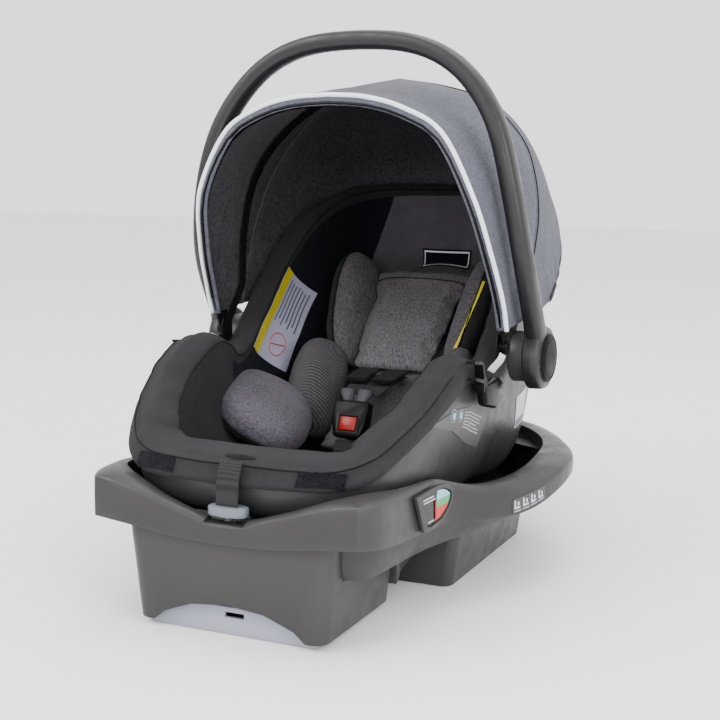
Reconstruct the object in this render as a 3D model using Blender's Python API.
"""Infant car seat: a rear-facing carrier with handle, canopy and harness, standing in its belt-fixed base.

Metres, +Z up. X runs across the seat, -Y is the foot end and +Y the head end. The origin is on the
floor, at the middle of the object's bounding box.
"""

import math

import bmesh
import bpy
import numpy as np
from mathutils import Vector

# Driving dimensions
HALF_WIDTH = 0.2415  # base rim at its widest
HALF_LENGTH = 0.3345  # base front to canopy hem
HEIGHT = 0.610  # floor to the top of the handle
GAP = 0.0006  # clearance between touching pieces
WALL = 0.004  # moulded wall thickness

HUB_Y = 0.0305  # handle axis
HUB_Z = 0.2445
HUB_RADIUS = 0.0365
CAP_RADIUS = 0.0285
ARM_X = 0.204  # centre of the handle's arms at the hub
ARM_WIDE = 0.022
ARM_DEEP = 0.028

BOW_Y = -0.022  # canopy bow axis
BOW_Z = 0.262
CANOPY_SKIN = 0.003

TRAY_FLOOR_Z = 0.068
FOOT_AXIS_Y = -0.180
FOOT_AXIS_Z = 0.026
RING = 56  # points round the bucket

FINISHES = {
    "shell_plastic": ((0.115, 0.112, 0.110), 0.42, 0.0),
    "base_plastic": ((0.110, 0.108, 0.106), 0.42, 0.0),
    "handle_plastic": ((0.045, 0.043, 0.042), 0.36, 0.0),
    "cap_plastic": ((0.055, 0.055, 0.055), 0.30, 0.0),
    "black_plastic": ((0.012, 0.012, 0.013), 0.25, 0.0),
    "foot_plastic": ((0.46, 0.47, 0.56), 0.50, 0.0),
    "button_plastic": ((0.26, 0.29, 0.33), 0.45, 0.0),
    "red_plastic": ((0.62, 0.03, 0.02), 0.35, 0.0),
    "dial_paint": ((0.30, 0.32, 0.30), 0.50, 0.0),
    "steel": ((0.50, 0.50, 0.50), 0.35, 1.0),
    "cover_fabric": ((0.062, 0.060, 0.066), 0.90, 0.0),
    "insert_fabric": ((0.110, 0.105, 0.115), 0.92, 0.0),
    "leg_fabric": ((0.190, 0.180, 0.205), 0.92, 0.0),
    "canopy_fabric": ((0.160, 0.165, 0.195), 0.90, 0.0),
    "webbing": ((0.070, 0.070, 0.075), 0.80, 0.0),
}


# ---------------------------------------------------------------- shape tools


def clear_scene():
    for old in list(bpy.data.objects):
        bpy.data.objects.remove(old, do_unlink=True)


def material(finish):
    found = bpy.data.materials.get(finish)
    if found:
        return found
    colour, roughness, metallic = FINISHES[finish]
    made = bpy.data.materials.new(finish)
    made.use_nodes = True
    shader = made.node_tree.nodes["Principled BSDF"]
    shader.inputs["Base Color"].default_value = (*colour, 1.0)
    shader.inputs["Roughness"].default_value = roughness
    shader.inputs["Metallic"].default_value = metallic
    made.diffuse_color = (*colour, 1.0)
    return made


def axis_empty(name, place):
    """An empty on a joint's axis, which the pieces of one moving body are parented to."""
    empty = bpy.data.objects.new(name, None)
    empty.location = place
    empty.empty_display_size = 0.02
    bpy.context.scene.collection.objects.link(empty)
    return empty


def solid(name, points, faces, finish, pivot=None, angle=40.0):
    """One closed body from points in the shared frame, facing out and shaded smooth."""
    origin = Vector(pivot.location) if pivot else Vector((0.0, 0.0, 0.0))
    mesh = bpy.data.meshes.new(name)
    mesh.from_pydata([Vector(p) - origin for p in points], [], faces)
    work = bmesh.new()
    work.from_mesh(mesh)
    bmesh.ops.remove_doubles(work, verts=work.verts, dist=1e-6)
    bmesh.ops.recalc_face_normals(work, faces=work.faces)
    if work.calc_volume(signed=True) < 0:
        bmesh.ops.reverse_faces(work, faces=work.faces)
    work.to_mesh(mesh)
    work.free()
    mesh.shade_smooth()
    mesh.set_sharp_from_angle(angle=math.radians(angle))
    mesh.materials.append(material(finish))
    made = bpy.data.objects.new(name, mesh)
    bpy.context.scene.collection.objects.link(made)
    made.parent = pivot
    return made


def boolean(target, cutter, operation="DIFFERENCE"):
    """Cuts or joins with a helper, applies it and removes the helper."""
    cut = target.modifiers.new("cut", "BOOLEAN")
    cut.operation = operation
    cut.object = cutter
    cut.solver = "EXACT"
    apply_modifiers(target)
    bpy.data.objects.remove(cutter, do_unlink=True)
    return target


def apply_modifiers(target):
    bpy.context.view_layer.update()
    graph = bpy.context.evaluated_depsgraph_get()
    baked = bpy.data.meshes.new_from_object(target.evaluated_get(graph))
    target.modifiers.clear()
    old = target.data
    target.data = baked
    bpy.data.meshes.remove(old)


def bevel(target, width, segments=2, angle=35.0):
    edge = target.modifiers.new("edge", "BEVEL")
    edge.width = width
    edge.segments = segments
    edge.limit_method = "ANGLE"
    edge.angle_limit = math.radians(angle)
    edge.use_clamp_overlap = True
    apply_modifiers(target)
    return target


def through(points, count):
    """A smooth curve through the points, as count points evenly spaced along it."""
    knots = np.asarray(points, float)
    padded = np.vstack([2 * knots[0] - knots[1], knots, 2 * knots[-1] - knots[-2]])
    fine = []
    for a, b, c, d in zip(padded, padded[1:], padded[2:], padded[3:]):
        for t in np.linspace(0.0, 1.0, 16, endpoint=False):
            fine.append(
                0.5 * (2 * b + (c - a) * t + (2 * a - 5 * b + 4 * c - d) * t**2
                       + (3 * b - a - 3 * c + d) * t**3)
            )
    fine = np.array(fine + [knots[-1]])
    steps = np.linalg.norm(np.diff(fine, axis=0), axis=1)
    along = np.concatenate([[0.0], np.cumsum(steps)])
    wanted = np.linspace(0.0, along[-1], count)
    return np.stack([np.interp(wanted, along, fine[:, k]) for k in range(fine.shape[1])], axis=1)


def mirrored_ring(half):
    """A closed ring from its right half, which runs from the front centre to the rear centre."""
    left = half[-2:0:-1] * np.array([-1.0, 1.0, 1.0])
    return np.vstack([half, left])


def normals(rings):
    """Outward unit normals of a stack of closed rings that runs from the top of a wall down."""
    stack = np.asarray(rings)
    around = np.roll(stack, -1, axis=1) - np.roll(stack, 1, axis=1)
    down = np.gradient(stack, axis=0)
    out = np.cross(down, around)
    return out / np.linalg.norm(out, axis=2, keepdims=True)


def ring_faces(rows, count):
    faces = []
    for row in range(rows - 1):
        for i in range(count):
            j = (i + 1) % count
            low, high = row * count, (row + 1) * count
            faces.append((low + i, low + j, high + j, high + i))
    return faces


def fold_cap(start, count):
    """Faces that close a ring by joining each point to its mirror image."""
    faces = []
    for i in range(count // 2):
        corner = [start + i, start + i + 1, start + count - i - 1, start + (count - i) % count]
        faces.append(tuple(dict.fromkeys(corner)))
    return faces


def bucket(name, rings, finish):
    """A closed body from rings that start at one mirrored floor and end at the other."""
    count = len(rings[0])
    points = np.vstack(rings)
    faces = ring_faces(len(rings), count)
    faces += fold_cap(0, count) + fold_cap(count * (len(rings) - 1), count)
    return solid(name, points, faces, finish)


def loft(name, rings, finish, pivot=None, angle=40.0):
    """A closed body through rings of equally many points, with flat ends."""
    count = len(rings[0])
    points = np.vstack(rings)
    faces = ring_faces(len(rings), count)
    last = count * (len(rings) - 1)
    faces += [tuple(range(count)), tuple(range(last, last + count))]
    return solid(name, points, faces, finish, pivot, angle)


def sheet(name, grid, thickness, finish, pivot=None, angle=40.0):
    """A closed body of even thickness on the inner side of a grid of points."""
    outer = np.asarray(grid, float)
    along = np.gradient(outer, axis=0)
    across = np.gradient(outer, axis=1)
    out = np.cross(along, across)
    out /= np.linalg.norm(out, axis=2, keepdims=True)
    inner = outer - out * thickness
    rows, count = outer.shape[:2]
    size = rows * count
    faces = []
    for i in range(rows - 1):
        for j in range(count - 1):
            a, b = i * count + j, (i + 1) * count + j
            faces.append((a, b, b + 1, a + 1))
            faces.append((size + a, size + a + 1, size + b + 1, size + b))
    rim = [(0, j) for j in range(count)] + [(i, count - 1) for i in range(1, rows)]
    rim += [(rows - 1, j) for j in range(count - 2, -1, -1)] + [(i, 0) for i in range(rows - 2, 0, -1)]
    index = [i * count + j for i, j in rim]
    for a, b in zip(index, index[1:] + index[:1]):
        faces.append((a, b, size + b, size + a))
    points = np.vstack([outer.reshape(-1, 3), inner.reshape(-1, 3)])
    return solid(name, points, faces, finish, pivot, angle)


def prism(name, outline, axis, low, high, finish, pivot=None, round_edges=0.0, segments=2):
    """A flat outline drawn square to one axis and extruded along it from low to high."""
    place = {
        "x": lambda p, t: (t, p[0], p[1]),
        "y": lambda p, t: (p[0], t, p[1]),
        "z": lambda p, t: (p[0], p[1], t),
    }
    rings = [[place[axis](p, t) for p in outline] for t in (low, high)]
    made = loft(name, rings, finish, pivot)
    return bevel(made, round_edges, segments) if round_edges else made


def box(name, low, high, finish, pivot=None, round_edges=0.0, segments=2):
    outline = [(low[0], low[1]), (high[0], low[1]), (high[0], high[1]), (low[0], high[1])]
    return prism(name, outline, "z", low[2], high[2], finish, pivot, round_edges, segments)


def circle(centre, radius, count=24, start=0.0):
    turn = [start + 2 * math.pi * i / count for i in range(count)]
    return [(centre[0] + radius * math.cos(a), centre[1] + radius * math.sin(a)) for a in turn]


def turned(name, centre, profile, finish, pivot=None, count=28):
    """A body of revolution about the X axis through centre, from (x, radius) stations."""
    rings = [[(x, y, z) for y, z in circle(centre, radius, count)] for x, radius in profile]
    return loft(name, rings, finish, pivot, 30.0)


def swept(name, path, section, finish, pivot=None, side=(1.0, 0.0, 0.0), angle=40.0):
    """A closed body of one section, in (side, out) coordinates, carried along a path."""
    path = np.asarray(path, float)
    tangent = np.gradient(path, axis=0)
    tangent /= np.linalg.norm(tangent, axis=1, keepdims=True)
    rings = []
    for point, ahead in zip(path, tangent):
        across = np.asarray(side, float)
        across = across - ahead * across.dot(ahead)
        across /= np.linalg.norm(across)
        out = np.cross(ahead, across)
        rings.append([point + across * a + out * b for a, b in section])
    return loft(name, rings, finish, pivot, angle)


def helix_spring(name, centre, axis, length, radius, wire, turns, finish, pivot=None):
    """A compression spring as a round wire on a helix."""
    steps = int(turns * 10)
    path = []
    for i in range(steps + 1):
        a = 2 * math.pi * turns * i / steps
        run = length * i / steps
        ring = (radius * math.cos(a), radius * math.sin(a))
        if axis == "x":
            path.append((centre[0] + run, centre[1] + ring[0], centre[2] + ring[1]))
        else:
            path.append((centre[0] + ring[0], centre[1] + ring[1], centre[2] + run))
    side = (1.0, 0.0, 0.0) if axis == "x" else (0.0, 0.0, 1.0)
    return swept(name, path, circle((0.0, 0.0), wire, 5), finish, pivot, side)


def superellipse(half_a, half_b, power, count):
    """An outline between an ellipse and a rectangle, in its own two coordinates."""
    outline = []
    for i in range(count):
        a = 2 * math.pi * (i + 0.5) / count
        c, s = math.cos(a), math.sin(a)
        outline.append((
            half_a * math.copysign(abs(c) ** (2 / power), c),
            half_b * math.copysign(abs(s) ** (2 / power), s),
        ))
    return outline


def cushion(name, centre, along, face, length, width, thick, finish, power=2.6, tip=0.0):
    """A padded block: a rounded outline, crowned on its face, with its sides drawn in."""
    ahead = Vector(along).normalized()
    up = Vector(face).normalized()
    across = ahead.cross(up).normalized()
    up = across.cross(ahead).normalized()
    rings = []
    for step, share in ((-0.5, 0.72), (-0.30, 0.95), (0.05, 1.0), (0.32, 0.86), (0.5, 0.55)):
        outline = superellipse(length / 2 * share, width / 2 * share, power, 24)
        rise = [up * (thick * step + tip * a) for a, _ in outline]
        rings.append([Vector(centre) + ahead * a + across * b + r for (a, b), r in zip(outline, rise)])
    return loft(name, rings, finish)


# ---------------------------------------------------------------- carrier shell and cover


RIM_HALF = [
    (0.0, -0.305, 0.158),
    (0.060, -0.304, 0.158),
    (0.105, -0.297, 0.160),
    (0.137, -0.277, 0.172),
    (0.153, -0.240, 0.192),
    (0.161, -0.195, 0.212),
    (0.165, -0.150, 0.234),
    (0.167, -0.112, 0.250),
    (0.168, -0.084, 0.246),
    (0.169, -0.056, 0.232),
    (0.170, -0.022, 0.240),
    (0.170, 0.016, 0.272),
    (0.169, 0.056, 0.314),
    (0.166, 0.100, 0.352),
    (0.160, 0.146, 0.384),
    (0.149, 0.195, 0.406),
    (0.134, 0.236, 0.416),
    (0.108, 0.270, 0.420),
    (0.070, 0.292, 0.421),
    (0.030, 0.301, 0.421),
    (0.0, 0.302, 0.421),
]
KEEL = [
    (-0.30, 0.128),
    (-0.24, 0.106),
    (-0.15, 0.088),
    (-0.05, 0.084),
    (0.03, 0.095),
    (0.10, 0.134),
    (0.16, 0.190),
    (0.21, 0.252),
    (0.26, 0.328),
    (0.31, 0.410),
]
KEEL_MID_Y = -0.010
WALL_STEPS = (0.0, 9.0, 24.0, 42.0, 60.0, 76.0, 90.0)


def keel_z(y):
    return np.interp(y, [k[0] for k in KEEL], [k[1] for k in KEEL])


def wall_rings():
    """The bucket's outer wall, from its rim down to the ring that its bottom is folded from."""
    rim = mirrored_ring(through(RIM_HALF, RING // 2 + 1))
    keel = rim.copy()
    keel[:, 0] *= 0.42
    keel[:, 1] = KEEL_MID_Y + (rim[:, 1] - KEEL_MID_Y) * 0.82
    keel[:, 2] = keel_z(keel[:, 1])
    rings = []
    for step in WALL_STEPS:
        level = math.cos(math.radians(step)) ** 0.62
        drop = math.sin(math.radians(step)) ** 0.80
        ring = keel + (rim - keel) * level
        ring[:, 2] = rim[:, 2] + (keel[:, 2] - rim[:, 2]) * drop
        rings.append(ring)
    return np.array(rings)


SHELL_KEEL = [
    (-0.30, 0.128),
    (-0.24, 0.106),
    (-0.15, 0.088),
    (-0.05, 0.084),
    (0.03, 0.087),
    (0.10, 0.091),
    (0.15, 0.102),
    (0.18, 0.115),
    (0.20, 0.127),
]


def shell_rings():
    """The bucket's outer wall: the lining's shape, but fuller low down at the back, where it fills the tray."""
    rim = mirrored_ring(through(RIM_HALF, RING // 2 + 1))
    back = np.clip(rim[:, 1] / 0.11, 0.0, 1.0)
    back = back * back * (3.0 - 2.0 * back)
    side = np.clip(np.abs(rim[:, 0]) / 0.14, 0.0, 1.0)
    keel = rim.copy()
    keel[:, 0] *= 0.42 + 0.26 * back
    keel[:, 1] = KEEL_MID_Y + (rim[:, 1] - KEEL_MID_Y) * (0.82 - 0.18 * back)
    keel[:, 2] = np.interp(keel[:, 1], [k[0] for k in SHELL_KEEL], [k[1] for k in SHELL_KEEL])
    power = 0.62 + back * (0.28 - 0.48 * side)
    rings = []
    for step in WALL_STEPS:
        level = (math.cos(math.radians(step)) ** power)[:, None]
        drop = math.sin(math.radians(step)) ** 0.80
        ring = keel + (rim - keel) * level
        ring[:, 2] = rim[:, 2] + (keel[:, 2] - rim[:, 2]) * drop
        rings.append(ring)
    return np.array(rings)


def make_shell():
    walls = shell_rings()
    inner = walls - normals(walls) * WALL
    inner[0, :, 2] = walls[0, :, 2]
    return bucket("carrier_shell", list(inner[::-1]) + list(walls), "shell_plastic")


def pad_depth(ring):
    """How thick the padding is inside the wall: thin at the head end, thick at the wings."""
    return np.interp(ring[:, 1], [-0.30, -0.22, -0.10, 0.0, 0.15, 0.30],
        [0.020, 0.024, 0.026, 0.020, 0.016, 0.014])


def make_cover(walls):
    """The padded cover: it lines the bucket, rolls over the rim and ends in a hem outside it."""
    out = normals(walls)
    flat = out[0] * np.array([1.0, 1.0, 0.0])
    flat /= np.linalg.norm(flat, axis=1, keepdims=True)
    rim = walls[0]
    y = rim[:, 1]
    up = np.array([0.0, 0.0, 1.0])
    depth = pad_depth(rim)[:, None]
    back = WALL + 0.0021
    crest_in = np.interp(y, [-0.30, -0.27, -0.20, 0.0, 0.30], [0.034, 0.030, 0.020, 0.014, 0.012])
    crest_up = np.interp(y, [-0.30, -0.27, -0.20, 0.0, 0.30], [0.028, 0.020, 0.015, 0.012, 0.010])
    crest_in = crest_in[:, None]
    crest_up = crest_up[:, None]
    hem = np.interp(y, [-0.30, -0.24, -0.10, -0.05, 0.30], [0.5, 0.35, 0.4, 0.5, 0.45])[:, None]
    hem_line = rim + (walls[1] - rim) * hem
    lining = [walls[k] - out[k] * (depth + back) for k in range(len(walls))]
    seam = rim - flat * (crest_in + 0.017) + up * (crest_up - 0.010)
    crest = rim - flat * crest_in + up * crest_up
    shoulder = rim - flat * (crest_in * 0.4) + up * (crest_up * 0.75)
    turn = rim + flat * 0.0035 + up * 0.003
    rings = lining[:0:-1]
    rings += [seam, crest, shoulder, turn, hem_line + flat * 0.0038, hem_line + flat * GAP]
    rings += [rim + flat * GAP + up * GAP, rim - flat * back + up * GAP]
    rings += [walls[k] - out[k] * back for k in range(1, len(walls))]
    return bucket("seat_cover", rings, "cover_fabric")


def make_carrier():
    walls = wall_rings()
    make_shell()
    make_cover(walls)


# ---------------------------------------------------------------- seat insert and harness


def both_sides(make):
    for side, name in ((1.0, "right"), (-1.0, "left")):
        make(side, name)


def make_insert():
    """The infant insert: a seat and back pad, the panel over its straps, and the bolsters beside it."""
    line = [(-0.030, 0.1330), (0.010, 0.1420), (0.050, 0.1640), (0.090, 0.1960), (0.130, 0.2330),
        (0.160, 0.2610)]
    rings = []
    for y, z in line:
        width = np.interp(y, [-0.030, 0.02, 0.16], [0.048, 0.060, 0.058])
        rings.append([(a, y - b * 0.68, z + b * 0.73) for a, b in superellipse(width, 0.010, 3.2, 20)])
    loft("insert_pad", rings, "insert_fabric", angle=60.0)
    rings = []
    for y, z, width in ((0.070, 0.2080, 0.050), (0.100, 0.2350, 0.058), (0.145, 0.2755, 0.064),
        (0.190, 0.3160, 0.066)):
        section = superellipse(width, 0.0075, 4.0, 20)
        rings.append([(a, y - b * 0.67, z + b * 0.745) for a, b in section])
    loft("back_panel", rings, "insert_fabric", angle=60.0)
    both_sides(make_bolsters)


def make_bolsters(side, name):
    cushion(
        f"head_bolster_{name}", (side * 0.094, 0.138, 0.276), (side * 0.22, 0.52, 0.82),
            (-side * 0.80, -0.50, 0.33),
        0.132, 0.056, 0.028, "insert_fabric", 2.4,
    )
    cushion(
        f"body_bolster_{name}", (side * 0.090, 0.050, 0.193), (side * 0.10, 0.52, 0.84),
            (-side * 0.80, -0.50, 0.33),
        0.100, 0.060, 0.030, "insert_fabric", 2.4,
    )
    cushion(
        f"leg_bolster_{name}", (side * 0.083, -0.083, 0.177), (side * 0.30, 0.90, 0.20),
            (-side * 0.60, -0.30, 0.74),
        0.118, 0.096, 0.044, "leg_fabric", 2.7,
    )


def strap_section(width, thick):
    half_w, half_t = width / 2, thick / 2
    return [(-half_w, -half_t), (half_w, -half_t), (half_w, half_t), (-half_w, half_t)]


STRAP_WIDE = 0.025
STRAP_THICK = 0.0016


def make_harness(pivots):
    """Five-point harness: two shoulder straps, a crotch strap, a buckle and the adjuster."""
    both_sides(make_shoulder_strap)
    path = through([(0.0, -0.052, 0.118), (0.0, -0.056, 0.130), (0.0, -0.052, 0.1385),
        (0.0, -0.0475, 0.1440)], 7)
    swept("crotch_strap", path, strap_section(0.030, 0.002), "webbing")
    make_buckle(pivots)
    path = [(0.0, -0.2925, 0.1905), (0.0, -0.302, 0.1855), (0.0, -0.310, 0.1765), (0.0, -0.3165, 0.165)]
    path += [(0.0, -0.3195, 0.152), (0.0, -0.3205, 0.134)]
    swept("adjuster_strap", through(path, 12), strap_section(STRAP_WIDE, STRAP_THICK), "webbing")


def make_shoulder_strap(side, name):
    path = [
        (side * 0.0185, 0.0600, 0.2035),
        (side * 0.0180, 0.0330, 0.2010),
        (side * 0.0150, 0.0080, 0.1975),
        (side * 0.0125, -0.0130, 0.1925),
    ]
    swept(f"harness_strap_{name}", through(path, 9), strap_section(0.022, STRAP_THICK), "webbing")
    cover = [(side * 0.0190, 0.0560, 0.2105), (side * 0.0185, 0.0320, 0.2085),
        (side * 0.0170, 0.0080, 0.2050)]
    section = superellipse(0.0155, 0.0036, 4.0, 12)
    swept(f"strap_cover_{name}", through(cover, 6), section, "cover_fabric")


BUCKLE_PLACE = Vector((0.0, -0.036, 0.168))
BUCKLE_UP = Vector((0.0, 0.42, 0.9075)).normalized()
BUCKLE_FACE = Vector((0.0, -0.9075, 0.42)).normalized()


def buckle_point(across, along, out):
    return BUCKLE_PLACE + Vector((1.0, 0.0, 0.0)) * across + BUCKLE_UP * along + BUCKLE_FACE * out


def buckle_block(name, outline, low, high, finish, pivot=None, round_edges=0.0015):
    """A prism on the buckle's own face: the outline is (across, along)."""
    rings = [[buckle_point(a, b, out) for a, b in outline] for out in (low, high)]
    made = loft(name, rings, finish, pivot)
    return bevel(made, round_edges) if round_edges else made


def make_buckle(pivots):
    shape = [(-0.017, -0.024), (0.017, -0.024), (0.022, -0.006), (0.022, 0.020), (-0.022, 0.020),
        (-0.022, -0.006)]
    body = buckle_block("buckle_body", shape, -0.009, 0.009, "black_plastic", None, 0.003)
    window = [(-0.011, -0.017), (0.011, -0.017), (0.011, 0.001), (-0.011, 0.001)]
    boolean(body, buckle_block("button_window", window, 0.002, 0.02, "black_plastic", None, 0.0))
    slot = [(-0.0185, 0.006), (0.0185, 0.006), (0.0185, 0.03), (-0.0185, 0.03)]
    boolean(body, buckle_block("tongue_slot", slot, -0.003, 0.003, "black_plastic", None, 0.0))
    button = [(-0.0102, -0.0162), (0.0102, -0.0162), (0.0102, 0.0002), (-0.0102, 0.0002)]
    buckle_block("buckle_button", button, 0.0045, 0.0096, "red_plastic", pivots["buckle_button"],
        0.0008)
    both_sides(lambda side, name: make_tongue(side, name, pivots["buckle_tongues"]))


def make_tongue(side, name, pivot):
    blade = [(side * 0.002, 0.008), (side * 0.0165, 0.008), (side * 0.0165, 0.024),
        (side * 0.0205, 0.028)]
    blade += [(side * 0.0205, 0.036), (side * 0.002, 0.036)]
    buckle_block(f"buckle_tongue_{name}", blade, -0.0012, 0.0012, "black_plastic", pivot, 0.0)


# ---------------------------------------------------------------- canopy


CANOPY_LINES = [
    [  # front edge, from the crown down to the right side
        (0.0, -0.0965, 0.536), (0.045, -0.0965, 0.533), (0.0892, -0.0955, 0.521),
        (0.1315, -0.0920, 0.495), (0.166, -0.0900, 0.430), (0.180, -0.068, 0.365),
        (0.1855, -0.046, 0.315), (0.1865, -0.034, 0.282),
    ],
    [  # halfway between the bows
        (0.0, 0.012, 0.554), (0.048, 0.012, 0.549), (0.098, 0.010, 0.531),
        (0.143, 0.006, 0.494), (0.171, -0.002, 0.440), (0.183, -0.004, 0.375),
        (0.1865, -0.004, 0.320), (0.1868, -0.004, 0.284),
    ],
    [  # over the middle bow
        (0.0, 0.120, 0.561), (0.050, 0.121, 0.553), (0.105, 0.120, 0.534),
        (0.150, 0.112, 0.492), (0.174, 0.092, 0.445), (0.1845, 0.072, 0.395),
        (0.1868, 0.045, 0.335), (0.1868, 0.030, 0.286),
    ],
    [
        (0.0, 0.1940, 0.5462), (0.0613, 0.1945, 0.5400), (0.1226, 0.1932, 0.5032),
        (0.1605, 0.1788, 0.4456), (0.1770, 0.1500, 0.3915), (0.1848, 0.112, 0.334),
        (0.1868, 0.075, 0.288),
    ],
    [
        (0.0, 0.2622, 0.4974), (0.0600, 0.2622, 0.4908), (0.1155, 0.2572, 0.4580),
        (0.1525, 0.2377, 0.4124), (0.1711, 0.2050, 0.3690), (0.1828, 0.1560, 0.3240),
        (0.1868, 0.112, 0.296),
    ],
    [
        (0.0, 0.3064, 0.4479), (0.0594, 0.3045, 0.4427), (0.1106, 0.2911, 0.4219),
        (0.1472, 0.2637, 0.3912), (0.1677, 0.2244, 0.3632), (0.1816, 0.1705, 0.3262),
        (0.1866, 0.128, 0.303),
    ],
    [  # rear hem round the head end
        (0.0, 0.3345, 0.4036), (0.0566, 0.3298, 0.4029), (0.1074, 0.3101, 0.3956),
        (0.1452, 0.2745, 0.3789), (0.1668, 0.2325, 0.3559), (0.1805, 0.1784, 0.3271),
        (0.1860, 0.140, 0.308),
    ],
]
MIDDLE_LINE = 2
CANOPY_ACROSS = 33
BOW_SHRINK = 0.966


def canopy_line(points):
    """One line over the canopy, from its right end to its left."""
    half = through(points, CANOPY_ACROSS // 2 + 1)
    left = half[1:] * np.array([-1.0, 1.0, 1.0])
    return np.vstack([half[::-1], left])


def canopy_grid(first, last, rows):
    lines = [canopy_line(points) for points in CANOPY_LINES]
    whole = np.stack([through([line[k] for line in lines], 61) for k in range(CANOPY_ACROSS)], axis=1)
    start = 60 * first / (len(lines) - 1)
    end = 60 * last / (len(lines) - 1)
    wanted = np.linspace(start, end, rows)
    low = np.minimum(wanted.astype(int), 59)
    share = (wanted - low)[:, None, None]
    return whole[low] * (1 - share) + whole[low + 1] * share


def bow_path(grid_row):
    pivot = np.array([0.0, BOW_Y, BOW_Z])
    return pivot + (grid_row - pivot) * BOW_SHRINK


def make_bow(name, row, x_ring, pivot):
    """A flat spring strip over the seat with an eye at each end, turning on the bracket pins."""
    path = bow_path(row)[1:-1]
    path[:, 0] *= x_ring / abs(path[0][0])
    strip = swept(name, path, strap_section(0.010, 0.0024), "black_plastic", pivot, (0.0, 1.0, -0.3))
    for side in (1.0, -1.0):
        low, high = sorted((side * (x_ring - 0.0012), side * (x_ring + 0.0012)))
        end = path[0] if side > 0 else path[-1]
        reach = [(BOW_Y, BOW_Z), (end[1], end[2] + 0.004)]
        ahead = Vector((reach[1][0] - reach[0][0], reach[1][1] - reach[0][1])).normalized()
        wide = Vector((-ahead.y, ahead.x)) * 0.005
        outline = [(reach[0][0] + wide.x, reach[0][1] + wide.y),
            (reach[1][0] + wide.x, reach[1][1] + wide.y)]
        outline += [(reach[1][0] - wide.x, reach[1][1] - wide.y),
            (reach[0][0] - wide.x, reach[0][1] - wide.y)]
        leg = prism("bow_leg", outline, "x", low, high, "black_plastic", pivot)
        boolean(strip, leg, "UNION")
        eye = prism("bow_eye", circle((BOW_Y, BOW_Z), 0.0075, 16), "x", low, high, "black_plastic",
            pivot)
        boolean(strip, eye, "UNION")
        bore = prism("bow_bore", circle((BOW_Y, BOW_Z), 0.0034, 12), "x", low - 0.002, high + 0.002,
            "steel", pivot)
        boolean(strip, bore)
    return strip


def make_canopy(pivots):
    front = canopy_grid(0, MIDDLE_LINE, 8)
    rear = canopy_grid(MIDDLE_LINE, len(CANOPY_LINES) - 1, 11)
    front[-1] = front[-1] * 0.93 + front[-2] * 0.07
    sheet("canopy_front_panel", front, CANOPY_SKIN, "canopy_fabric", pivots["canopy_mid_bow"])
    sheet("canopy_rear_panel", rear, CANOPY_SKIN, "canopy_fabric")
    make_bow("canopy_front_bow", front[0], 0.1806, pivots["canopy_front_bow"])
    make_bow("canopy_mid_bow", rear[0], 0.1772, pivots["canopy_mid_bow"])
    both_sides(make_canopy_bracket)


def make_canopy_bracket(side, name):
    """The bracket on the shell whose pin carries both bows."""
    plate = [(BOW_Y - 0.012, BOW_Z - 0.016), (BOW_Y + 0.012, BOW_Z - 0.016),
        (BOW_Y + 0.012, BOW_Z + 0.008)]
    plate += [(BOW_Y + 0.004, BOW_Z + 0.014), (BOW_Y - 0.008, BOW_Z + 0.014),
        (BOW_Y - 0.012, BOW_Z + 0.006)]
    low, high = sorted((side * 0.1742, side * 0.1755))
    made = prism(f"canopy_bracket_{name}", plate, "x", low, high, "black_plastic")
    low, high = sorted((side * 0.1750, side * 0.1845))
    pin = prism("bracket_pin", circle((BOW_Y, BOW_Z), 0.0030, 12), "x", low, high, "black_plastic")
    boolean(made, pin, "UNION")
    low, high = sorted((side * 0.1825, side * 0.1845))
    boolean(made, prism("bracket_head", circle((BOW_Y, BOW_Z), 0.0070, 16), "x", low, high,
        "black_plastic"), "UNION")


# ---------------------------------------------------------------- handle and hubs


ARM_POINTS = [
    (ARM_X, 0.0260, 0.2540),
    (ARM_X, 0.0090, 0.2860),
    (ARM_X, -0.0082, 0.3180),
    (0.2025, -0.0240, 0.3520),
    (0.1990, -0.0315, 0.3840),
    (0.1945, -0.0355, 0.4150),
    (0.1880, -0.0370, 0.4470),
    (0.1800, -0.0350, 0.4790),
    (0.1700, -0.0310, 0.5065),
    (0.1530, -0.0265, 0.5350),
    (0.1270, -0.0225, 0.5640),
    (0.0920, -0.0205, 0.5855),
    (0.0490, -0.0195, 0.5965),
    (0.0, -0.0195, HEIGHT - ARM_WIDE / 2),
]
DRUM_IN = 0.1936
DRUM_OUT = 0.2146


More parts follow.
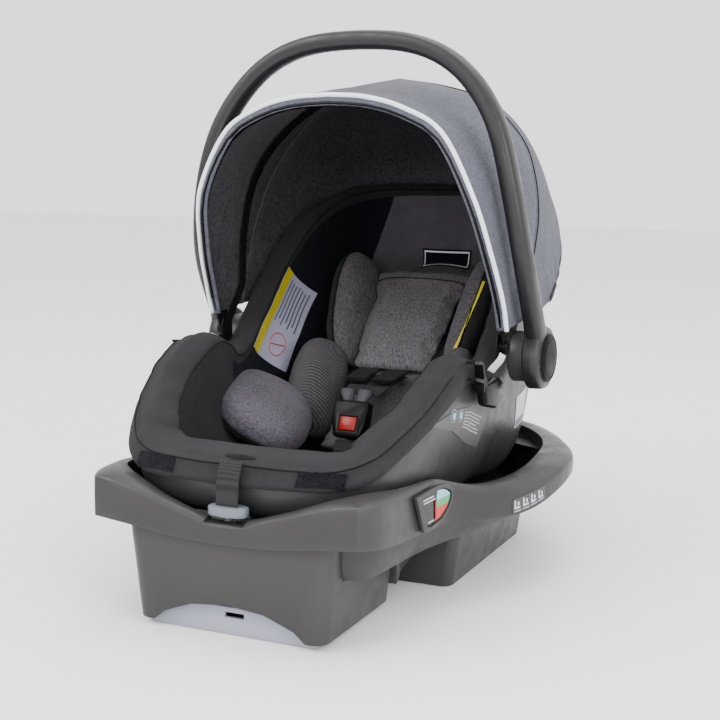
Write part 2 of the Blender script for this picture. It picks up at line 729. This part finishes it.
def make_handle(pivot):
    """The bar: two arms and an arch in one moulding, with a drum at each end."""
    half = through(ARM_POINTS, 22)
    left = half[-2::-1] * np.array([-1.0, 1.0, 1.0])
    section = superellipse(ARM_DEEP / 2, ARM_WIDE / 2, 3.0, 14)
    bar = swept("handle_bar", np.vstack([half, left]), section, "handle_plastic", pivot,
        (0.0, 1.0, 0.0))
    for side in (1.0, -1.0):
        drum = [(DRUM_IN, HUB_RADIUS - 0.003), (DRUM_IN + 0.002, HUB_RADIUS),
            (DRUM_OUT - 0.003, HUB_RADIUS)]
        drum += [(DRUM_OUT, HUB_RADIUS - 0.003)]
        boolean(bar, turned("drum", (HUB_Y, HUB_Z), [(side * x, r) for x, r in drum],
            "handle_plastic", pivot, 32), "UNION")
        pocket = [(0.2065, CAP_RADIUS + 0.0005), (DRUM_OUT + 0.01, CAP_RADIUS + 0.0005)]
        boolean(bar, turned("pocket", (HUB_Y, HUB_Z), [(side * x, r) for x, r in pocket], "steel",
            pivot, 32))
        well = [(0.1966, 0.0205), (0.2075, 0.0205)]
        boolean(bar, turned("well", (HUB_Y, HUB_Z), [(side * x, r) for x, r in well], "steel", pivot,
            24))
        bore = [(DRUM_IN - 0.01, 0.0066), (0.20, 0.0066)]
        boolean(bar, turned("bore", (HUB_Y, HUB_Z), [(side * x, r) for x, r in bore], "steel", pivot,
            20))


def make_hub(side, name, pivots):
    """The boss on the shell with its pin, the locking gear, the release button and its spring."""
    boss = [(0.1742, 0.0260), (0.1755, 0.0290), (0.1918, 0.0290), (0.1930, 0.0275), (0.1930, 0.0060),
        (0.2038, 0.0060)]
    turned(f"hub_mount_{name}", (HUB_Y, HUB_Z), [(side * x, r) for x, r in boss], "shell_plastic",
        None, 28)
    teeth = []
    for i in range(12):
        for turn, radius in ((-0.30, 0.0165), (-0.16, 0.0195), (0.16, 0.0195), (0.30, 0.0165)):
            a = 2 * math.pi * (i + turn) / 12
            teeth.append((HUB_Y + radius * math.cos(a), HUB_Z + radius * math.sin(a)))
    low, high = sorted((side * 0.1972, side * 0.2022))
    gear = prism(f"lock_gear_{name}", teeth, "x", low, high, "black_plastic")
    bore = [(0.19, 0.0064), (0.21, 0.0064)]
    boolean(gear, turned("gear_bore", (HUB_Y, HUB_Z), [(side * x, r) for x, r in bore], "steel", None,
        20))
    cap = [(0.2092, CAP_RADIUS - 0.001), (0.2102, CAP_RADIUS), (0.2158, CAP_RADIUS),
        (0.2172, CAP_RADIUS - 0.0035)]
    cap += [(0.2178, CAP_RADIUS - 0.010), (0.2181, CAP_RADIUS - 0.020)]
    pivot = pivots[f"handle_button_{name}"]
    turned(f"handle_button_{name}", (HUB_Y, HUB_Z), [(side * x, r) for x, r in cap], "cap_plastic",
        pivot, 32)
    start = 0.2032 if side > 0 else -0.2086
    centre = (start, HUB_Y, HUB_Z)
    helix_spring(f"button_spring_{name}", centre, "x", 0.0054, 0.0100, 0.0006, 2, "steel",
        pivots["handle"])


# ---------------------------------------------------------------- belt guides, release lever


def make_belt_guide(side, name):
    """Hook and ribbed block on the shell's side that the vehicle belt runs through."""
    hook = [(-0.128, 0.262), (-0.100, 0.258), (-0.094, 0.238), (-0.100, 0.2345), (-0.122, 0.240),
        (-0.1215, 0.2435)]
    hook += [(-0.102, 0.2385), (-0.0985, 0.2405), (-0.1035, 0.2545), (-0.1275, 0.2585)]
    block = [(-0.098, 0.2310), (-0.048, 0.2330), (-0.036, 0.2250), (-0.030, 0.2060), (-0.060, 0.2000),
        (-0.092, 0.2080)]
    low, high = sorted((side * 0.1745, side * 0.1860))
    made = prism(f"belt_guide_{name}", block, "x", low, high, "black_plastic", None, 0.004, 3)
    for y in (-0.078, -0.064):
        groove_low, groove_high = sorted((side * 0.1835, side * 0.190))
        groove = prism("groove", circle((y, 0.236), 0.0042, 12), "x", groove_low, groove_high,
            "black_plastic")
        boolean(made, groove)
    low, high = sorted((side * 0.1750, side * 0.1850))
    hook_solid = prism("hook", hook, "x", low, high, "black_plastic")
    neck = prism("neck", [(-0.0985, 0.224), (-0.088, 0.224), (-0.088, 0.243), (-0.0985, 0.243)], "x",
        low, high, "black_plastic")
    boolean(made, hook_solid, "UNION")
    boolean(made, neck, "UNION")


def make_release(pivots):
    """The squeeze lever behind the head end that frees the carrier from its base."""
    outline = [(0.2905, 0.250), (0.3060, 0.250), (0.3130, 0.286), (0.2990, 0.286)]
    prism("release_lever", outline, "x", -0.045, 0.045, "black_plastic", pivots["release_lever"], 0.002)


# ---------------------------------------------------------------- base


EDGE_HALF = [
    (0.0, -0.3305, 0.1150), (0.024, -0.3308, 0.1150), (0.032, -0.3310, 0.1170),
        (0.040, -0.3315, 0.1240),
    (0.062, -0.3325, 0.1295), (0.090, -0.3335, 0.1390), (0.122, -0.3338, 0.1485),
        (0.148, -0.3325, 0.1510),
    (0.1595, -0.3250, 0.1510), (0.1625, -0.3000, 0.1490), (0.164, -0.2600, 0.1460),
        (0.165, -0.2200, 0.1435),
    (0.1668, -0.1850, 0.1410), (0.170, -0.1580, 0.1310), (0.185, -0.1300, 0.1195),
        (0.205, -0.0980, 0.1135),
    (0.222, -0.0660, 0.1125), (0.235, -0.0250, 0.1170), (HALF_WIDTH, 0.0250, 0.1240),
        (0.236, 0.0700, 0.1240),
    (0.222, 0.1100, 0.1220), (0.204, 0.1480, 0.1200), (0.180, 0.1880, 0.1200), (0.146, 0.2280, 0.1200),
    (0.100, 0.2600, 0.1200), (0.050, 0.2780, 0.1200), (0.0, 0.2840, 0.1200),
]
INNER_HALF = [
    (0.0, -0.3130, 0.1180), (0.028, -0.3128, 0.1190), (0.045, -0.3125, 0.1260),
        (0.070, -0.3118, 0.1330),
    (0.095, -0.3090, 0.1440), (0.122, -0.3030, 0.1530), (0.141, -0.2880, 0.1560),
        (0.149, -0.2660, 0.1540),
    (0.152, -0.2450, 0.1510), (0.1545, -0.2100, 0.1480), (0.158, -0.1800, 0.1450),
        (0.1630, -0.1500, 0.1370),
    (0.172, -0.1180, 0.1280), (0.182, -0.0800, 0.1220), (0.192, -0.0400, 0.1210),
        (0.1985, 0.0000, 0.1240),
    (0.1990, 0.0400, 0.1280), (0.192, 0.0900, 0.1290), (0.176, 0.1350, 0.1280), (0.152, 0.1750, 0.1270),
    (0.118, 0.2100, 0.1260), (0.068, 0.2360, 0.1260), (0.0, 0.2460, 0.1260),
]
SKIRT_BOTTOM = [
    (-0.335, 0.0975), (-0.330, 0.1040), (-0.325, 0.1100), (-0.300, 0.1060), (-0.260, 0.1020),
    (-0.185, 0.0970), (-0.130, 0.0930), (-0.098, 0.0885), (-0.060, 0.0895), (-0.030, 0.0950),
    (0.002, 0.1020), (0.036, 0.1080), (0.110, 0.1120), (0.188, 0.1130), (0.284, 0.1130),
]
SKIRT_WALL = 0.0035


def skirt_bottom(ring):
    """Height of the skirt's lower edge: a shallow wave that is lowest at the middle of the front."""
    y = [k[0] for k in SKIRT_BOTTOM]
    z = np.interp(ring[:, 1], y, [k[1] for k in SKIRT_BOTTOM])
    front = ring[:, 1] < -0.318
    across = np.abs(ring[:, 0])
    z[front] = np.interp(across[front], [0.0, 0.05, 0.11, 0.15], [0.0970, 0.0985, 0.1070, 0.1105])
    return z


def plan_out(ring):
    around = np.roll(ring, -1, axis=0) - np.roll(ring, 1, axis=0)
    out = np.stack([around[:, 1], -around[:, 0], np.zeros(len(ring))], axis=1)
    return out / np.linalg.norm(out, axis=1, keepdims=True)


def at_height(ring, z):
    moved = ring.copy()
    moved[:, 2] = z
    return moved


DECK_RING = 84


def deck_rings(clearance=0.0):
    """Rings of the deck's tray: its inner edge, the walls and the floor, grown by a clearance."""
    inner = mirrored_ring(through(INNER_HALF, DECK_RING // 2 + 1))
    out = plan_out(inner)
    grown = inner + out * clearance
    wall_low = at_height(grown - out * 0.010, TRAY_FLOOR_Z + 0.010)
    floor = at_height(grown - out * 0.018, TRAY_FLOOR_Z)
    floor_in = at_height(grown - out * 0.040, TRAY_FLOOR_Z)
    return inner, out, grown, wall_low, floor, floor_in


def make_deck():
    """The upper moulding: a broad rim with its skirt outside and a sunk tray inside."""
    edge = mirrored_ring(through(EDGE_HALF, DECK_RING // 2 + 1))
    out = plan_out(edge)
    inner, inner_out, _, wall_low, floor, floor_in = deck_rings()
    front_bulge = np.interp(edge[:, 1], [-0.334, -0.325], [0.0008, 0.0])[:, None]
    bottom = at_height(edge + out * front_bulge, skirt_bottom(edge))
    bottom_in = bottom - out * SKIRT_WALL
    crest = (edge * 0.72 + inner * 0.28) + np.array([0, 0, 0.0032])
    brow = (edge * 0.35 + inner * 0.65) + np.array([0, 0, 0.0038])
    under_edge = edge - out * SKIRT_WALL - np.array([0, 0, SKIRT_WALL])
    under = inner_out * SKIRT_WALL
    down = np.array([0, 0, -SKIRT_WALL])
    corner = edge + np.array([0, 0, 0.0008]) - out * 0.0012
    rings = [floor_in, floor, wall_low, inner, brow, crest, corner, edge + np.array([0, 0, -0.0012]),
        bottom, bottom_in]
    rings += [under_edge, inner + under + down, wall_low + under + down * 0.3,
        floor + under * 0.8 + down, floor_in + down]
    made = bucket("base_deck", rings, "base_plastic")
    cut = box("notch_cut", (-0.0225, -0.3292, 0.1172), (0.0225, -0.3030, 0.20), "base_plastic")
    return boolean(made, cut)


def tray_cutter(clearance):
    """A solid of the tray's outside, grown by a clearance, that trims what stands under it."""
    inner, out, grown, wall_low, floor, _ = deck_rings(SKIRT_WALL + clearance)
    drop = np.array([0, 0, -SKIRT_WALL - clearance])
    top = at_height(grown, 0.20)
    rings = [top, grown, wall_low + drop * 0.4, floor + drop]
    count = len(top)
    faces = ring_faces(len(rings), count) + fold_cap(0, count) + fold_cap(count * (len(rings) - 1),
        count)
    return solid("tray_cutter", np.vstack(rings), faces, "base_plastic")


def rounded_plan(half_x, front, back, corner, z, count=6):
    """A rectangle with round corners, as a ring at height z."""
    ring = []
    for sx, y, start in ((1, back, 0), (-1, back, 1), (-1, front, 2), (1, front, 3)):
        centre_x = sx * (half_x - corner)
        centre_y = y - corner if y == back else y + corner
        for i in range(count):
            a = math.pi / 2 * (start + i / (count - 1))
            ring.append((centre_x + corner * math.cos(a), centre_y + corner * math.sin(a), z))
    return ring


def housing(name, low, high, corner, wall, roof):
    """A drafted box without a bottom, from (half width, front, back, z) at its foot and at its top."""
    outer = [rounded_plan(*low[:3], corner, low[3]), rounded_plan(*high[:3], corner, high[3])]
    made = loft(name, outer, "base_plastic")
    share = (roof - low[3]) / (high[3] - low[3])
    mid = [low[k] + (high[k] - low[k]) * share for k in range(3)]
    inset = max(corner - wall, 0.002)
    hollow_low = rounded_plan(low[0] - wall, low[1] + wall, low[2] - wall, inset, low[3] - 0.01)
    hollow_high = rounded_plan(mid[0] - wall, mid[1] + wall, mid[2] - wall, inset, roof)
    return boolean(made, loft("hollow", [hollow_low, hollow_high], "base_plastic"))


def make_housings():
    front = housing("base_front_housing", (0.1065, -0.3235, -0.1640, 0.0065),
        (0.1165, -0.3255, -0.1600, 0.104), 0.014, 0.0035, 0.056)
    boolean(front, tray_cutter(0.0006))
    arch = [(-0.094, 0.0), (-0.074, 0.0170), (-0.042, 0.0290), (0.0, 0.0335), (0.042, 0.0290),
        (0.074, 0.0170), (0.094, 0.0)]
    boolean(front, prism("arch_cut", arch, "y", -0.335, -0.315, "base_plastic"))
    rear = housing("base_rear_housing", (0.1440, -0.0880, 0.1520, 0.0),
        (0.1620, -0.0920, 0.1600, 0.112), 0.012, 0.0035, 0.052)
    boolean(rear, tray_cutter(0.0006))
    web = [(-0.1592, 0.0200), (-0.1480, 0.0330), (-0.1150, 0.0395), (-0.0925, 0.0400),
        (-0.0925, 0.0630), (-0.1592, 0.0630)]
    tunnel = prism("belt_tunnel", web, "x", -0.112, 0.112, "base_plastic")
    boolean(tunnel, box("belt_slot", (-0.2, -0.1420, 0.0450), (0.2, -0.1000, 0.0580), "base_plastic"))


def make_foot(pivot):
    """Recline foot: a shallow tray hinged at its back, under the front of the base."""
    outline = [(-0.3140, 0.0), (-0.3110, 0.0270), (-0.3080, 0.0270), (-0.3060, 0.0045),
        (-0.1880, 0.0045)]
    outline += [(-0.1860, 0.0220), (-0.1740, 0.0220), (-0.1740, 0.0160), (-0.1780, 0.0)]
    floor = prism("recline_foot", outline, "x", -0.0950, 0.0950, "foot_plastic", pivot)
    for x in (-0.0950, 0.0920):
        cheek = [(-0.3120, 0.0), (-0.3100, 0.0240), (-0.1800, 0.0240), (-0.1780, 0.0)]
        boolean(floor, prism("cheek", cheek, "x", x, x + 0.003, "foot_plastic", pivot), "UNION")
    boolean(floor, box("foot_window", (-0.010, -0.320, 0.0165), (0.012, -0.300, 0.0215),
        "foot_plastic", pivot))
    return floor


def make_recline_button(pivots):
    outline = []
    for i in range(15):
        a = math.pi * i / 14
        outline.append((0.0215 * math.cos(a), -0.3160 + 0.0110 * math.sin(a)))
    outline += [(-0.0215, -0.3215), (-0.0140, -0.3265), (0.0, -0.3282), (0.0140, -0.3265),
        (0.0215, -0.3215)]
    prism("recline_button", outline, "z", 0.1235, 0.1335, "button_plastic", pivots["recline_button"],
        0.0018)
    helix_spring("recline_spring", (0.0, -0.3165, 0.1182), "z", 0.0046, 0.0060, 0.0006, 2, "steel")


BEZEL = [
    (-0.2440, 0.1425), (-0.2200, 0.1440), (-0.1980, 0.1450), (-0.1800, 0.1430), (-0.1670, 0.1385),
        (-0.1575, 0.1325),
    (-0.1575, 0.1250), (-0.1660, 0.1150), (-0.1850, 0.1050), (-0.2150, 0.1010), (-0.2270, 0.1030),
]


def tilted(points, side, depth):
    """Points of the level indicator, (y, z), carried onto the skirt's slightly slanted side."""
    ahead = Vector((0.0068, 0.0900)).normalized()
    placed = []
    for y, z in points:
        run = y + 0.190
        placed.append((side * (0.1693 + ahead.x * run + ahead.y * depth),
            -0.190 + ahead.y * run - ahead.x * depth, z))
    return placed


def make_level(side, name, pivots):
    """Recline level: a bezel, a dial behind its window, and a needle that hangs plumb."""
    bezel = loft(f"level_bezel_{name}", [tilted(BEZEL, side, d) for d in (0.0, 0.0045)], "base_plastic")
    inside = [((y + 0.192) * 0.80 - 0.192, (z - 0.124) * 0.80 + 0.124) for y, z in BEZEL]
    boolean(bezel, loft("dial_pocket", [tilted(inside, side, d) for d in (0.0010, 0.01)],
        "base_plastic"))
    dial = [((y + 0.192) * 0.78 - 0.192, (z - 0.124) * 0.78 + 0.124) for y, z in BEZEL]
    loft(f"level_dial_{name}", [tilted(dial, side, d) for d in (0.0014, 0.0024)], "dial_paint")
    needle = [(-0.2015, 0.1300), (-0.1985, 0.1300), (-0.1990, 0.1120), (-0.2010, 0.1120)]
    loft(f"level_needle_{name}", [tilted(needle, side, d) for d in (0.0028, 0.0036)], "red_plastic",
        pivots[f"level_needle_{name}"])


def make_base(pivots):
    make_deck()
    make_housings()
    make_foot(pivots["recline_foot"])
    make_recline_button(pivots)
    both_sides(lambda side, name: make_level(side, name, pivots))


def make_pivots():
    places = {
        "handle": (0.0, HUB_Y, HUB_Z),
        "handle_button_right": (0.2092, HUB_Y, HUB_Z),
        "handle_button_left": (-0.2092, HUB_Y, HUB_Z),
        "canopy_mid_bow": (0.0, BOW_Y, BOW_Z),
        "canopy_front_bow": (0.0, BOW_Y, BOW_Z),
        "buckle_button": tuple(buckle_point(0.0, -0.008, 0.0045)),
        "buckle_tongues": tuple(buckle_point(0.0, 0.008, 0.0)),
        "release_lever": (0.0, 0.302, 0.254),
        "recline_foot": (0.0, FOOT_AXIS_Y, FOOT_AXIS_Z - 0.010),
        "recline_button": (0.0, -0.3160, 0.1235),
        "level_needle_right": tuple(tilted([(-0.200, 0.130)], 1.0, 0.0032)[0]),
        "level_needle_left": tuple(tilted([(-0.200, 0.130)], -1.0, 0.0032)[0]),
    }
    made = {name: axis_empty(f"{name}_axis", place) for name, place in places.items()}
    bpy.context.view_layer.update()
    return made


clear_scene()
PIVOTS = make_pivots()
make_carrier()
make_insert()
make_harness(PIVOTS)
make_canopy(PIVOTS)
make_handle(PIVOTS["handle"])
both_sides(lambda side, name: make_hub(side, name, PIVOTS))
both_sides(make_belt_guide)
make_release(PIVOTS)
make_base(PIVOTS)
